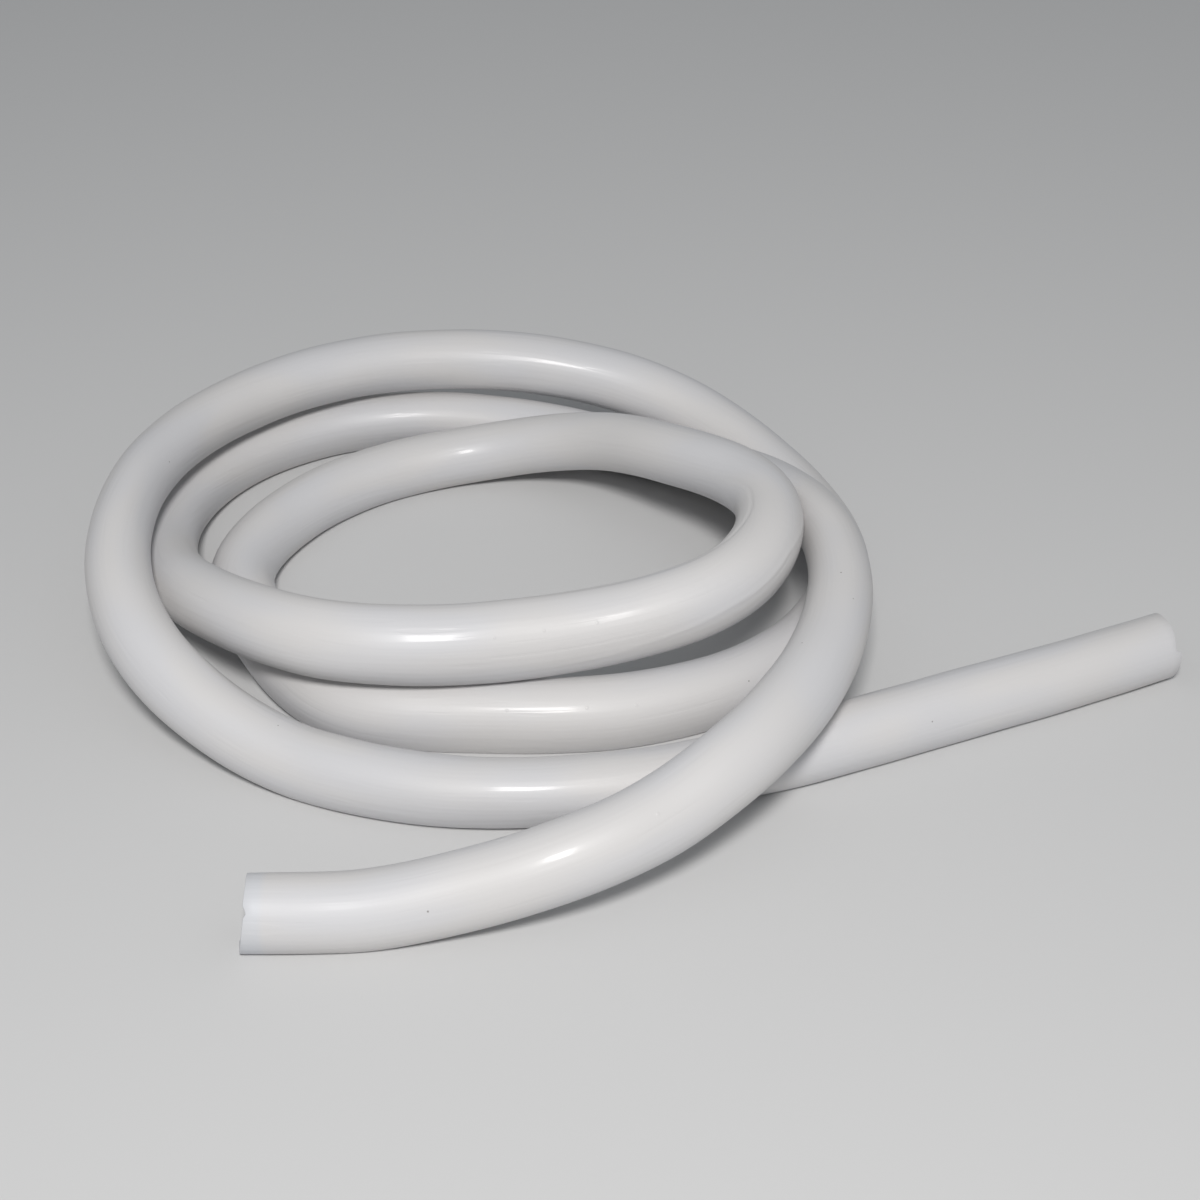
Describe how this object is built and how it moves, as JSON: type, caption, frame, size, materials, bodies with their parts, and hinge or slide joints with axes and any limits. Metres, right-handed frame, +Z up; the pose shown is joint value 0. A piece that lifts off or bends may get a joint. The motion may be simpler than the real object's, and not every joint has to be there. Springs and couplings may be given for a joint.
{
  "type": "vacuum hose",
  "caption": "Smooth, plain vacuum hose of soft pale grey vinyl for a pool or spa, lying in loose overlapping turns, with both ends cut bare and square.",
  "frame": {"origin": "on the floor, in the middle of the hose's footprint", "axes": "+Z up; +X to the right, the way the right free end points; +Y to the back, away from the front free end"},
  "size_m": [0.4646, 0.3956, 0.0678],
  "materials": {
    "vinyl": "glossy soft vinyl"
  },
  "bodies": {
    "root": {"front_free_end": "vinyl", "hose_coil": "vinyl", "right_free_end": "vinyl"}
  },
  "joints": []
}
